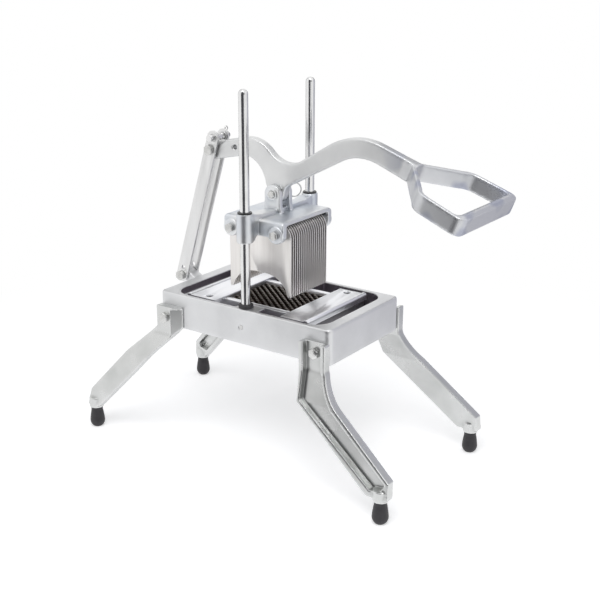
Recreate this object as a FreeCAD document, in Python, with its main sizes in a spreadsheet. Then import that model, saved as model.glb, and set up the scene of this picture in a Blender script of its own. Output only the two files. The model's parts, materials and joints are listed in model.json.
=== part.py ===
import FreeCAD, Part
import Sketcher
import os

# Lever-operated food cutter: a base casting on four legs, two guide rods, a pusher head with a
# stack of arched fins, a block of scalloped blades, and a lever carried by a pair of links.
# X runs across the cutter, -Y points to the user, Z is up and Z = 0 is the table.

os.makedirs("parts", exist_ok=True)
document = FreeCAD.newDocument("LeverCutter")
Vector = FreeCAD.Vector

# Driving dimensions in millimetres, degrees and counts
SIZES = [
    ("frame_wide", 169, "base casting, left to right"),
    ("frame_deep", 280, "base casting, front to back"),
    ("frame_tall", 48, "height of the base casting's walls"),
    ("frame_top", 216.7, "rim of the base casting over the table"),
    ("frame_corner", 8, "radius of the casting's upright corners"),
    ("frame_edge", 3, "roll of the casting's top edge"),
    ("side_rim", 7.5, "thickness of the side walls"),
    ("end_rim", 18, "width of the rim at the front and back"),
    ("end_wall", 7.5, "thickness of the front and back walls"),
    ("rim_thick", 11, "thickness of the rim over the hollow ends"),
    ("mouth_corner", 25, "corner radius of the mouth"),
    ("hollow_corner", 12, "corner radius of the hollow under the rim"),
    ("rod_boss_inside", 12.2, "rod boss on the inner side of the rod"),
    ("rod_boss_front", 22, "rod boss in front of the rod"),
    ("rod_boss_back", 14, "rod boss behind the rod"),
    ("rod_boss_tall", 36, "height of the rod bosses"),
    ("seat_drop", 28.7, "seats of the blade block under the rim"),
    ("seat_thick", 10, "thickness of the seats"),
    ("seat_reach", 25, "seats from the side walls"),
    ("leg_boss_width", 22, "diameter of the leg bolt bosses"),
    ("leg_boss_long", 15, "length of the leg bolt bosses"),
    ("lug_thick", 17.8, "thickness of the pivot lug"),
    ("lug_eye", 8.8, "radius of the pivot lug's eye"),
    ("rod_width", 12.7, "diameter of a guide rod"),
    ("rod_inset", 11.8, "rod axes from the sides of the base casting"),
    ("rod_rise", 284, "top of the rods over the rim"),
    ("rod_sunk", 26, "depth of the rod in its boss"),
    ("rod_screw_width", 6, "diameter of the screw under a rod"),
    ("rod_screw_head", 10, "head of the screw under a rod"),
    ("rod_screw_head_tall", 6, "height of that screw's head"),
    ("rod_screw_grip", 12, "length of that screw inside the rod"),
    ("set_screw_width", 6, "diameter of a rod set screw"),
    ("set_screw_drop", 24.8, "set screw under the rim"),
    ("bumper_width", 19.5, "outer diameter of a rod bumper"),
    ("bumper_tall", 4.5, "height of a rod bumper"),
    ("leg_thick", 13, "depth of a leg's channel section"),
    ("leg_web", 4.5, "web of a leg's channel section"),
    ("leg_rib", 6.5, "width of a leg's ribs"),
    ("leg_inset", 19, "leg bolts from the ends of the base casting"),
    ("leg_pad_width", 39, "width of a leg's pad"),
    ("leg_pad_drop", 16.7, "top of a leg's pad under the rim"),
    ("leg_pad_hang", 8.7, "straight part of a leg under the walls"),
    ("leg_knee_drop", 44.7, "knee of a leg under the walls"),
    ("back_leg_front", 22.5, "front edge of a back leg before its bolt"),
    ("leg_bolt_drop", 31.7, "leg bolts under the rim"),
    ("leg_bolt_width", 8, "diameter of a leg bolt"),
    ("leg_bolt_flats", 13, "leg bolt head across flats"),
    ("leg_bolt_head", 5.3, "height of a leg bolt head"),
    ("foot_splay", 35, "feet outside the sides of the base casting"),
    ("foot_along", 240, "feet from the middle, front to back"),
    ("foot_tall", 30, "height of a rubber foot"),
    ("foot_neck", 16.5, "diameter of a foot's neck"),
    ("foot_bulb", 21, "diameter of a foot's bulb"),
    ("foot_flat", 12, "diameter of a foot's flat"),
    ("knuckle_width", 20.5, "diameter of the knuckle over a foot"),
    ("knuckle_tall", 15, "height of the knuckle over a foot"),
    ("peg_width", 8, "diameter of the peg in a foot"),
    ("peg_long", 18, "length of the peg in a foot"),
    ("block_tall", 27, "height of the blade block over its seats"),
    ("bar_space", 6.5, "space between a bar's end and the side wall"),
    ("bar_inner", 54, "inner faces of the bars from the middle"),
    ("bar_front_deep", 43, "depth of the front bar"),
    ("bar_back_deep", 48, "depth of the back bar"),
    ("bar_plate", 5, "thickness of a bar's plate"),
    ("comb_thick", 7, "thickness of a bar's slotted wall"),
    ("bar_cheek", 5, "thickness of a bar's end walls"),
    ("bar_lip", 7, "width of a bar's rolled lip"),
    ("rail_inner", 43.5, "inner faces of the rails from the middle"),
    ("rail_thick", 8.5, "thickness of a rail"),
    ("rail_drop", 2, "rails under the top of the bars"),
    ("blade_pitch", 4.7625, "distance from blade to blade and fin to fin"),
    ("blade_count", 17, "number of blades"),
    ("blade_thick", 0.5, "thickness of a blade"),
    ("blade_lift", 3, "lower edge of the blades over the seats"),
    ("blade_tall", 20.2, "height of a blade to the tips of its scallops"),
    ("scallop_deep", 3.2, "depth of a scallop"),
    ("scallop_long", 11.4, "length of a scallop"),
    ("blade_end", 5.2, "blade ends inside the slotted walls"),
    ("blade_pin_width", 3, "diameter of a blade pin"),
    ("blade_pin_lift", 9, "blade pins over the seats"),
    ("block_screw_inset", 10.5, "block screws from the ends of the bars"),
    ("block_screw_along", 72, "block screws from the middle, front to back"),
    ("block_screw_width", 5, "diameter of a block screw"),
    ("block_screw_head", 9, "head of a block screw"),
    ("rail_screw_width", 4, "diameter of a rail screw"),
    ("rail_screw_lift", 17.6, "rail screws over the seats"),
    ("base_pivot_reach", 23.2, "lower pivot of the links behind the base casting"),
    ("base_pivot_drop", 0.8, "lower pivot of the links under the rim"),
    ("pivot_bolt_width", 8, "diameter of the pivot bolts"),
    ("pivot_flats", 12.7, "pivot bolt heads and nuts across flats"),
    ("pivot_head", 5.4, "height of the pivot bolt heads and nuts"),
    ("link_wide", 19, "width of a link"),
    ("link_thick", 3.2, "thickness of a link"),
    ("link_gap", 18.4, "space between the two links"),
    ("stop_reach", 17.4, "stop pin beyond the upper pivot along a link"),
    ("spare_hole", 12.5, "spare hole above the lower pivot along a link"),
    ("spare_hole_width", 6.4, "diameter of the links' spare hole"),
    ("stop_pin_width", 9.5, "diameter of the stop pin"),
    ("stop_pin_proud", 8, "stop pin outside a link"),
    ("washer_width", 17, "outer diameter of the lever washers"),
    ("lever_thick", 14, "thickness of the lever arm"),
    ("lever_pivot_back", 105.6, "upper pivot behind the middle"),
    ("lever_pivot_rise", 46.9, "upper pivot over the clevis pin"),
    ("pin_rise", 23.7, "clevis pin over the pusher head"),
    ("pin_width", 9.5, "diameter of the clevis pin"),
    ("lobe_radius", 13, "radius of the lever round the clevis pin"),
    ("lever_hole_width", 6.4, "diameter of the spare hole in the lever"),
    ("grip_start_front", 200, "root of the hand grip in front of the middle"),
    ("grip_start_rise", 52.9, "root of the hand grip over the clevis pin"),
    ("grip_tilt", 21, "slope of the hand grip in degrees"),
    ("grip_half", 73, "half the width of the hand grip"),
    ("grip_long", 113, "length of the hand grip along its slope"),
    ("grip_strap", 6.2, "thickness of the grip's strap"),
    ("grip_tall", 23, "height of the grip's strap"),
    ("grip_bar_thick", 13, "thickness of the grip's bar"),
    ("grip_bar_tall", 26, "height of the grip's bar"),
    ("head_half", 55.5, "half the width of the pusher head"),
    ("head_along", 48, "half the depth of the pusher head"),
    ("head_rise", 116.3, "top plate of the pusher head over the rim"),
    ("head_plate", 5, "thickness of the head's top plate"),
    ("head_flange", 8, "thickness of the head's flanges"),
    ("flange_drop", 21.5, "lower edge of the flanges under the top plate"),
    ("fin_bolt_along", 36, "fin bolts from the middle, front to back"),
    ("fin_bolt_drop", 17, "fin bolts under the top plate"),
    ("fin_bolt_width", 6.35, "diameter of a fin bolt"),
    ("fin_bolt_flats", 11, "fin bolt heads and nuts across flats"),
    ("fin_bolt_head", 4.6, "height of the fin bolt heads and nuts"),
    ("lug_radius", 12, "radius of the bolt lugs"),
    ("lug_proud", 2, "bolt lugs outside the flanges"),
    ("sleeve_width", 22, "outer diameter of the sleeves"),
    ("sleeve_drop", 28, "lower end of the sleeves under the top plate"),
    ("sleeve_rise", 10, "upper end of the sleeves over the top plate"),
    ("spine_thick", 18, "thickness of the spine between the sleeves"),
    ("spine_rise", 5, "top of the spine over the top plate"),
    ("bushing_wall", 1.5, "wall of a sleeve bushing"),
    ("bushing_flange", 19, "collar of a sleeve bushing"),
    ("bushing_collar", 1.8, "height of a bushing's collar"),
    ("ear_gap", 15, "space between the clevis ears"),
    ("ear_thick", 7, "thickness of a clevis ear"),
    ("ear_radius", 12.5, "radius of a clevis ear"),
    ("ear_boss", 8, "radius of the boss on a clevis ear"),
    ("fin_count", 18, "number of fins"),
    ("fin_thick", 1.6, "thickness of a fin"),
    ("fin_along", 50, "half the width of a fin"),
    ("fin_clear", 15, "tips of the fins over the blade block"),
    ("fin_arch", 27, "rise of the arch between the tips"),
    ("fin_corner", 19, "radius of a fin's upper corners"),
    ("spacer_width", 12, "outer diameter of a fin spacer"),
    ("pin_eye_width", 6.4, "diameter of the clevis pin's drilled end"),
    ("ring_radius", 9.4, "radius of the pull ring"),
    ("ring_wire", 1.8, "wire of the pull ring"),
    ("ring_turn", -45, "turn of the pull ring about the upright, in degrees"),
    ("running_fit", 0.06, "clearance on the radius of a shaft that turns or slides"),
    ("seat_fit", 0.04, "clearance on the radius of a shaft that is held"),
    ("side_gap", 0.3, "clearance between faces that pass each other"),
]

sheet = document.addObject("Spreadsheet::Sheet", "Sizes")
for row, (alias, value, note) in enumerate(SIZES, start=1):
    sheet.set("A%d" % row, note)
    sheet.set("B%d" % row, str(value))
    sheet.setAlias("B%d" % row, alias)
document.recompute()


# A size knows its value and the formula that the document keeps for it
class Size:
    def __init__(self, value, text):
        self.value = value
        self.text = text

    def __add__(self, other):
        return combined(self, other, "+")

    def __radd__(self, other):
        return combined(other, self, "+")

    def __sub__(self, other):
        return combined(self, other, "-")

    def __rsub__(self, other):
        return combined(other, self, "-")

    def __mul__(self, other):
        return combined(self, other, "*")

    def __rmul__(self, other):
        return combined(other, self, "*")

    def __truediv__(self, other):
        return combined(self, other, "/")

    def __neg__(self):
        return combined(-1, self, "*")


def sized(amount):
    if isinstance(amount, Size):
        return amount
    return Size(float(amount), "(%r)" % float(amount))


def combined(first, second, sign):
    first = sized(first)
    second = sized(second)
    results = {
        "+": first.value + second.value,
        "-": first.value - second.value,
        "*": first.value * second.value,
    }
    value = first.value / second.value if sign == "/" else results[sign]
    return Size(value, "(%s %s %s)" % (first.text, sign, second.text))


def length_of(across, along):
    value = (across.value ** 2 + along.value ** 2) ** 0.5
    return Size(value, "sqrt(%s * %s + %s * %s)" % (across.text, across.text, along.text, along.text))


def named(alias):
    return Size(float(sheet.get(alias)), "Sizes." + alias)


SHEET = {alias: named(alias) for alias, value, note in SIZES}


class Sheet:
    def __getattr__(self, alias):
        return SHEET[alias]


size = Sheet()


def bind(thing, path, amount):
    thing.setExpression(path, sized(amount).text)


def place(thing, x=0, y=0, z=0):
    for letter, amount in (("x", x), ("y", y), ("z", z)):
        bind(thing, "Placement.Base." + letter, amount)


# Plain solids
def cylinder(name, radius, long, x=0, y=0, z=0, axis="Z"):
    solid = document.addObject("Part::Cylinder", name)
    turns = {"Z": (Vector(0, 0, 1), 0), "X": (Vector(0, 1, 0), 90), "Y": (Vector(1, 0, 0), -90)}
    solid.Placement = FreeCAD.Placement(Vector(), FreeCAD.Rotation(*turns[axis]))
    bind(solid, "Radius", radius)
    bind(solid, "Height", long)
    place(solid, x, y, z)
    return solid


def block(name, x, y, z):
    solid = document.addObject("Part::Box", name)
    for side, (low, high) in (("Length", x), ("Width", y), ("Height", z)):
        bind(solid, side, sized(high) - sized(low))
    place(solid, x[0], y[0], z[0])
    return solid


def hexagon(name, flats, tall, x, y, z, axis="X"):
    solid = document.addObject("Part::Prism", name)
    solid.Polygon = 6
    turns = {"X": FreeCAD.Rotation(Vector(0, 1, 0), 90), "Z": FreeCAD.Rotation()}
    solid.Placement = FreeCAD.Placement(Vector(), turns[axis])
    bind(solid, "Circumradius", sized(flats) / 1.7320508)
    bind(solid, "Height", tall)
    place(solid, x, y, z)
    return solid


def tube(name, outer, inner, long, x=0, y=0, z=0, axis="Z"):
    rod = cylinder(name + "_outside", outer, long, x, y, z, axis)
    bore = cylinder(name + "_bore", inner, long, x, y, z, axis)
    return cut(name, rod, [bore])


# Joined, cut and grouped solids
def fuse(name, pieces):
    whole = document.addObject("Part::MultiFuse", name)
    whole.Shapes = pieces
    return whole


def cut(name, base, tools):
    whole = document.addObject("Part::Cut", name)
    whole.Base = base
    whole.Tool = tools[0] if len(tools) == 1 else fuse(name + "_tools", tools)
    return whole


def common(name, pieces):
    whole = document.addObject("Part::MultiCommon", name)
    whole.Shapes = pieces
    return whole


def group(name, pieces):
    whole = document.addObject("Part::Compound", name)
    whole.Links = pieces
    return whole


def mirror(name, piece, normal):
    whole = document.addObject("Part::Mirroring", name)
    whole.Source = piece
    whole.Normal = normal
    return whole


def copy(name, piece, x):
    whole = document.addObject("App::Link", name)
    whole.LinkedObject = piece
    bind(whole, "Placement.Base.x", x)
    return whole


# Sketched solids
VIA = "via"


def sketch_on(body, plane, lift):
    sketch = body.newObject("Sketcher::SketchObject", body.Name + "_" + plane + "_sketch")
    planes = [item for item in body.Origin.OriginFeatures if item.Role == plane + "_Plane"]
    sketch.AttachmentSupport = [(planes[0], "")]
    sketch.MapMode = "FlatFace"
    bind(sketch, "AttachmentOffset.Base.z", lift)
    return sketch


def hold(sketch, kind, start, amount):
    index = sketch.addConstraint(Sketcher.Constraint(kind, -1, 1, start[0], start[1], amount.value))
    sketch.setExpression("Constraints[%d]" % index, amount.text)


def draw_outline(sketch, points):
    points = [(sized(point[0]), sized(point[1])) + tuple(point[2:]) for point in points]
    corners = [index for index, point in enumerate(points) if len(point) == 2]
    edges = []
    for number, index in enumerate(corners):
        following = corners[(number + 1) % len(corners)]
        start = Vector(points[index][0].value, points[index][1].value, 0)
        end = Vector(points[following][0].value, points[following][1].value, 0)
        bend = points[(index + 1) % len(points)]
        if len(bend) == 3:
            middle = Vector(bend[0].value, bend[1].value, 0)
            edge = sketch.addGeometry(Part.Arc(start, middle, end), False)
            mark = sketch.addGeometry(Part.Point(middle), True)
            sketch.addConstraint(Sketcher.Constraint("PointOnObject", mark, 1, edge))
            hold(sketch, "DistanceX", (mark, 1), bend[0])
            hold(sketch, "DistanceY", (mark, 1), bend[1])
        else:
            edge = sketch.addGeometry(Part.LineSegment(start, end), False)
        forward = sketch.getPoint(edge, 1).distanceToPoint(start) < 1e-6
        edges.append((edge, 1, 2) if forward else (edge, 2, 1))
    for number, index in enumerate(corners):
        edge, first, last = edges[number]
        after, start, end = edges[(number + 1) % len(edges)]
        sketch.addConstraint(Sketcher.Constraint("Coincident", edge, last, after, start))
        hold(sketch, "DistanceX", (edge, first), points[index][0])
        hold(sketch, "DistanceY", (edge, first), points[index][1])


def draw_circle(sketch, u, v, radius):
    u, v, radius = sized(u), sized(v), sized(radius)
    circle = Part.Circle(Vector(u.value, v.value, 0), Vector(0, 0, 1), radius.value)
    edge = sketch.addGeometry(circle, False)
    index = sketch.addConstraint(Sketcher.Constraint("Radius", edge, radius.value))
    sketch.setExpression("Constraints[%d]" % index, radius.text)
    hold(sketch, "DistanceX", (edge, 3), u)
    hold(sketch, "DistanceY", (edge, 3), v)


def new_body(name):
    return document.addObject("PartDesign::Body", name)


def feature(body, kind, plane, outlines, long, lift=0, both=False, back=False, circles=()):
    sketch = sketch_on(body, plane, lift)
    for points in outlines:
        draw_outline(sketch, points)
    for circle in circles:
        draw_circle(sketch, *circle)
    step = body.newObject("PartDesign::" + kind, body.Name + "_" + kind)
    step.Profile = sketch
    step.Midplane = both
    step.Reversed = back
    bind(step, "Length", long)
    sketch.Visibility = False
    return step


def pad(name, plane, points, long, lift=0, both=False, back=False):
    body = new_body(name)
    feature(body, "Pad", plane, [points], long, lift, both, back)
    return body


# A rectangle with round corners about a middle point
def soft_rectangle(half_u, half_v, radius, u=0, v=0):
    bend = radius * (1 - 0.7071068)
    points = []
    for sign_u, sign_v, first in ((1, -1, "u"), (1, 1, "v"), (-1, 1, "u"), (-1, -1, "v")):
        along_u = (u + sign_u * (half_u - radius), v + sign_v * half_v)
        along_v = (u + sign_u * half_u, v + sign_v * (half_v - radius))
        middle = (u + sign_u * (half_u - bend), v + sign_v * (half_v - bend), VIA)
        points += [along_u, middle, along_v] if first == "u" else [along_v, middle, along_u]
    return points


def both_sides(points, middle=()):
    far = [(-point[0], point[1]) + tuple(point[2:]) for point in reversed(points)]
    return points + list(middle) + far


# Places that several pieces share
frame_half_wide = size.frame_wide / 2
frame_half_deep = size.frame_deep / 2
frame_low = size.frame_top - size.frame_tall
wall_inside = frame_half_wide - size.side_rim
seat_height = size.frame_top - size.seat_drop
block_top = seat_height + size.block_tall
blade_low = seat_height + size.blade_lift
blade_high = blade_low + size.blade_tall
blade_pin_height = seat_height + size.blade_pin_lift
rail_screw_height = seat_height + size.rail_screw_lift
bar_long = (wall_inside - size.bar_space) * 2
leg_place = frame_half_deep - size.leg_inset
rod_top = size.frame_top + size.rod_rise
base_pivot_back = frame_half_deep + size.base_pivot_reach
base_pivot_height = size.frame_top - size.base_pivot_drop
head_top = size.frame_top + size.head_rise
flange_low = head_top - size.flange_drop
fin_bolt_height = head_top - size.fin_bolt_drop
sleeve_low = head_top - size.sleeve_drop
sleeve_high = head_top + size.sleeve_rise
spine_high = head_top + size.spine_rise
pin_height = head_top + size.pin_rise
lever_pivot_height = pin_height + size.lever_pivot_rise
grip_start_height = pin_height + size.grip_start_rise
fin_low = block_top + size.fin_clear
rod_x = frame_half_wide - size.rod_inset
rod_boss_inner = rod_x - size.rod_boss_inside
seat_inner = wall_inside - size.seat_reach
leg_boss_inner = wall_inside - size.leg_boss_long
foot_across = frame_half_wide + size.foot_splay
block_screw_across = bar_long / 2 - size.block_screw_inset
rod_radius = size.rod_width / 2
rod_low = size.frame_top - size.rod_sunk
rod_boss_low = size.frame_top - size.rod_boss_tall
leg_bolt_height = size.frame_top - size.leg_bolt_drop
set_screw_height = size.frame_top - size.set_screw_drop
seat_low = seat_height - size.seat_thick
link_inside = size.link_gap / 2
link_outside = link_inside + size.link_thick
pivot_radius = size.pivot_bolt_width / 2
pin_radius = size.pin_width / 2
lever_half = size.lever_thick / 2
lug_outside = size.head_half + size.lug_proud
fin_pitch_start = -(size.fin_count - 1) / 2
blade_pitch_start = -(size.blade_count - 1) / 2
fins = range(int(size.fin_count.value))
blades = range(int(size.blade_count.value))
nodes = {}


# Base casting: walls, rim, rod bosses, block seats, leg bosses and pivot lug
def base_frame():
    body = new_body("frame_casting")
    outside = soft_rectangle(frame_half_wide, frame_half_deep, size.frame_corner)
    feature(body, "Pad", "XY", [outside], size.frame_tall, frame_low)
    document.recompute()
    shell = body.Tip
    rims = []
    for number, edge in enumerate(shell.Shape.Edges, start=1):
        if edge.BoundBox.ZMin > size.frame_top.value - 0.01:
            rims.append("Edge%d" % number)
    roll = body.newObject("PartDesign::Fillet", "frame_roll")
    roll.Base = (shell, rims)
    bind(roll, "Radius", size.frame_edge)
    mouth = soft_rectangle(wall_inside, frame_half_deep - size.end_rim, size.mouth_corner)
    feature(body, "Pocket", "XY", [mouth], size.frame_tall + 2, size.frame_top + 1)
    hollow = soft_rectangle(wall_inside, frame_half_deep - size.end_wall, size.hollow_corner)
    hollow_top = size.frame_top - size.rim_thick
    feature(body, "Pocket", "XY", [hollow], size.frame_tall, hollow_top)
    pieces = [body]
    in_wall = wall_inside + 1
    for side, word in ((-1, "left"), (1, "right")):
        inner = side * rod_boss_inner
        outer = side * in_wall
        ends = (inner, outer) if side > 0 else (outer, inner)
        pieces.append(block("rod_boss_" + word, ends, (-size.rod_boss_front, size.rod_boss_back),
                            (rod_boss_low, size.frame_top)))
        seat_ends = (seat_inner, in_wall) if side > 0 else (-in_wall, -seat_inner)
        front = size.bar_inner + size.comb_thick
        pieces.append(block("seat_front_" + word, seat_ends,
                            (-(size.bar_inner + size.bar_front_deep - size.bar_lip), -front),
                            (seat_low, seat_height)))
        pieces.append(block("seat_back_" + word, seat_ends,
                            (front, size.bar_inner + size.bar_back_deep - size.bar_lip),
                            (seat_low, seat_height)))
        for end, place_word in ((-1, "front"), (1, "back")):
            start = leg_boss_inner if side > 0 else -in_wall
            pieces.append(cylinder("leg_boss_%s_%s" % (place_word, word), size.leg_boss_width / 2,
                                   in_wall - leg_boss_inner, start, end * leg_place,
                                   leg_bolt_height, "X"))
    eye_back = base_pivot_back
    eye_height = base_pivot_height
    eye = size.lug_eye
    lug = [
        (frame_half_deep - 1, frame_low + 22),
        (eye_back - 3, eye_height - eye + 1),
        (eye_back + eye * 0.7, eye_height - eye * 0.714),
        (eye_back + eye, eye_height, VIA),
        (eye_back, eye_height + eye),
        (eye_back - eye, eye_height + eye * 0.6),
        (frame_half_deep - 1, size.frame_top - 4),
    ]
    pieces.append(pad("pivot_lug", "YZ", lug, size.lug_thick, both=True))
    drills = []
    for side, word in ((-1, "left"), (1, "right")):
        x = side * rod_x
        drills.append(cylinder("rod_socket_" + word, rod_radius + size.seat_fit, size.rod_sunk + 2,
                               x, 0, rod_low))
        drills.append(cylinder("rod_screw_hole_" + word, size.rod_screw_width / 2 + size.seat_fit,
                               size.rod_boss_tall, x, 0, rod_boss_low - 2))
        drills.append(cylinder("rod_screw_sink_" + word, size.rod_screw_head / 2 + size.seat_fit,
                               size.rod_screw_head_tall + 2, x, 0, rod_boss_low - 2))
        start = rod_x if side > 0 else -frame_half_wide - 1
        drills.append(cylinder("set_screw_hole_" + word, size.set_screw_width / 2 + size.seat_fit,
                               frame_half_wide + 1 - rod_x, start, 0, set_screw_height, "X"))
        for end, place_word in ((-1, "front"), (1, "back")):
            start = leg_boss_inner - 2 if side > 0 else -frame_half_wide - 1
            drills.append(cylinder("leg_bolt_hole_%s_%s" % (place_word, word),
                                   size.leg_bolt_width / 2 + size.seat_fit,
                                   frame_half_wide - leg_boss_inner + 3, start,
                                   end * leg_place, leg_bolt_height, "X"))
        drills.append(cylinder("block_screw_tap_" + word,
                               size.block_screw_width / 2 + size.seat_fit, size.seat_thick + 2,
                               side * block_screw_across, -side * size.block_screw_along,
                               seat_low - 1))
    drills.append(cylinder("lug_hole", pivot_radius + size.seat_fit, size.lug_thick + 2,
                           -(size.lug_thick / 2 + 1), eye_back, eye_height, "X"))
    nodes["base_frame"] = cut("base_frame", fuse("frame_whole", pieces), drills)


# Legs: channel-section castings that splay outwards and forwards, mirrored for the other corners
def legs():
    inner = frame_half_wide
    outer = frame_half_wide + size.leg_thick
    drift = foot_across - size.leg_thick / 2 - frame_half_wide
    pad_top = size.frame_top - size.leg_pad_drop
    pad_low = frame_low - size.leg_pad_hang
    knee = frame_low - size.leg_knee_drop
    ankle = size.foot_tall + 4
    bend = drift * 0.51

    def strip(start):
        return [
            (start, pad_top), (start, pad_low), (start + bend, knee), (start + drift, ankle),
            (outer + drift + 1, ankle), (outer + bend, knee), (outer, pad_low), (outer, pad_top),
        ]

    rear = leg_place - size.leg_pad_width / 2
    front = leg_place + size.leg_pad_width / 2
    toe = size.foot_along
    edge = [
        (-rear, pad_top), (-rear, pad_low + 1), (-(rear + 6.5), knee), (-(toe - 18), ankle),
        (-(toe + 13), ankle), (-(toe + 12), ankle + 22), (-(front + 21.5), knee + 5),
        (-(front + 9), knee + 20, VIA), (-front, pad_low + 5), (-front, pad_top),
    ]
    rib = size.leg_rib
    floor = [
        (-(rear + rib), pad_top + 1), (-(rear + rib), pad_low), (-(rear + rib + 4), knee + 3),
        (-(toe - 13), ankle + 8), (-(toe + 2), ankle + 12), (-(toe + 6.5), ankle + 19),
        (-(front + 17.5), knee), (-(front + 3), knee + 19, VIA), (-(front - rib), pad_low + 5),
        (-(front - rib), pad_top + 1),
    ]
    reach = size.foot_along + 30
    wide = outer + drift + 10
    shape = common("leg_shape", [pad("leg_strip", "XZ", strip(inner), reach),
                                 pad("leg_side", "YZ", edge, wide)])
    trough = common("leg_trough", [pad("leg_trough_strip", "XZ", strip(inner + size.leg_web), reach),
                                   pad("leg_trough_side", "YZ", floor, wide)])
    knuckle = cylinder("leg_knuckle", size.knuckle_width / 2, size.knuckle_tall,
                       foot_across, -size.foot_along, size.foot_tall)
    peg = cylinder("leg_peg", size.peg_width / 2, size.peg_long + 1,
                   foot_across, -size.foot_along, size.foot_tall - size.peg_long)
    channel = cut("leg_channel", shape, [trough])
    hole = cylinder("leg_hole", size.leg_bolt_width / 2 + size.seat_fit, size.leg_web + 2,
                    inner - 1, -leg_place, leg_bolt_height, "X")
    right = cut("leg_front_right", fuse("leg_whole", [channel, knuckle, peg]), [hole])
    left = mirror("leg_front_left", right, Vector(1, 0, 0))
    nodes["leg_front_right"] = right
    nodes["leg_front_left"] = left
    wall = leg_place - size.back_leg_front
    web_edge = [
        (wall, pad_top), (wall, pad_low + 10), (wall + 40.5, knee + 6), (wall + 68.5, knee - 25),
        (toe - 11.5, ankle), (toe + 10, ankle), (toe + 8, ankle + 12), (toe + 6, ankle + 23.5),
        (toe - 59, knee + 4.8), (leg_place + 15, pad_low + 10), (leg_place + 15, pad_top),
    ]
    inlet = [
        (wall + 37.5, knee + 18), (wall + 73.3, knee - 20.6), (toe - 14, ankle + 12),
        (toe - 2, ankle + 16), (toe - 1, ankle + 22), (toe - 63.5, knee + 0.2),
        (wall + 51.5, knee + 24),
    ]
    back_shape = common("leg_back_shape", [pad("leg_back_strip", "XZ", strip(inner), reach, back=True),
                                           pad("leg_back_side", "YZ", web_edge, wide)])
    inward = [
        (inner - 2, pad_top), (inner - 2, ankle), (outer + drift - size.leg_web, ankle),
        (outer + bend - size.leg_web, knee), (outer - size.leg_web, pad_low),
        (outer - size.leg_web, pad_top),
    ]
    back_trough = common("leg_back_trough", [pad("leg_inlet_strip", "XZ", inward, reach, back=True),
                                             pad("leg_inlet_side", "YZ", inlet, wide)])
    slope = [(inner + 1, wall - 1), (outer + 1, wall - 1), (outer + 1, wall + 14)]
    back_knuckle = cylinder("leg_back_knuckle", size.knuckle_width / 2, size.knuckle_tall,
                            foot_across, size.foot_along, size.foot_tall)
    back_peg = cylinder("leg_back_peg", size.peg_width / 2, size.peg_long + 1,
                        foot_across, size.foot_along, size.foot_tall - size.peg_long)
    back_hole = cylinder("leg_back_hole", size.leg_bolt_width / 2 + size.seat_fit,
                         size.leg_thick + 2, inner - 1, leg_place, leg_bolt_height, "X")
    back_plate = cut("leg_back_plate", back_shape,
                     [back_trough, pad("leg_slope", "XY", slope, size.frame_tall, lift=pad_low - 9)])
    back = cut("leg_back_right", fuse("leg_back_whole", [back_plate, back_knuckle, back_peg]),
               [back_hole])
    nodes["leg_back_right"] = back
    nodes["leg_back_left"] = mirror("leg_back_left", back, Vector(1, 0, 0))
    bolts = []
    for side in (-1, 1):
        for end in (-1, 1):
            name = "leg_bolt_%s_%s" % ("right" if side > 0 else "left", "back" if end > 0 else "front")
            seat = inner + (size.leg_web if end < 0 else size.leg_thick)
            long = seat - leg_boss_inner
            head_x = seat if side > 0 else -(seat + size.leg_bolt_head)
            shaft_x = leg_boss_inner if side > 0 else -seat
            y = end * leg_place
            head = hexagon(name + "_head", size.leg_bolt_flats, size.leg_bolt_head, head_x, y,
                           leg_bolt_height)
            shaft = cylinder(name + "_shaft", size.leg_bolt_width / 2, long, shaft_x, y,
                             leg_bolt_height, "X")
            bolts.append(fuse(name, [head, shaft]))
    nodes["leg_bolts"] = group("leg_bolts", bolts)


# Feet: rubber tips pushed over the legs' pegs
def feet():
    neck = size.foot_neck / 2
    bulb = size.foot_bulb / 2
    peg = size.peg_width / 2 + size.seat_fit
    flat = size.foot_flat / 2
    peg_low = size.foot_tall - size.peg_long
    bulb_height = bulb * 0.95
    body = new_body("foot_form")
    sketch = sketch_on(body, "XZ", 0)
    draw_outline(sketch, [
        (0, 0), (flat, 0), (flat + (bulb - flat) * 0.75, bulb_height * 0.4, VIA),
        (bulb, bulb_height), ((bulb + neck) / 2 + 0.3, bulb_height + 7, VIA),
        (neck, size.foot_tall - 5), (neck, size.foot_tall), (peg, size.foot_tall),
        (peg, peg_low), (0, peg_low),
    ])
    turn = body.newObject("PartDesign::Revolution", "foot_turn")
    turn.Profile = sketch
    turn.ReferenceAxis = (sketch, ["V_Axis"])
    turn.Angle = 360
    for side, word in ((-1, "left"), (1, "right")):
        for end, place_word in ((-1, "front"), (1, "back")):
            name = "foot_%s_%s" % (place_word, word)
            foot = copy(name + "_tip", body, side * foot_across)
            bind(foot, "Placement.Base.y", end * size.foot_along)
            nodes[name] = group(name, [foot])


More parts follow.
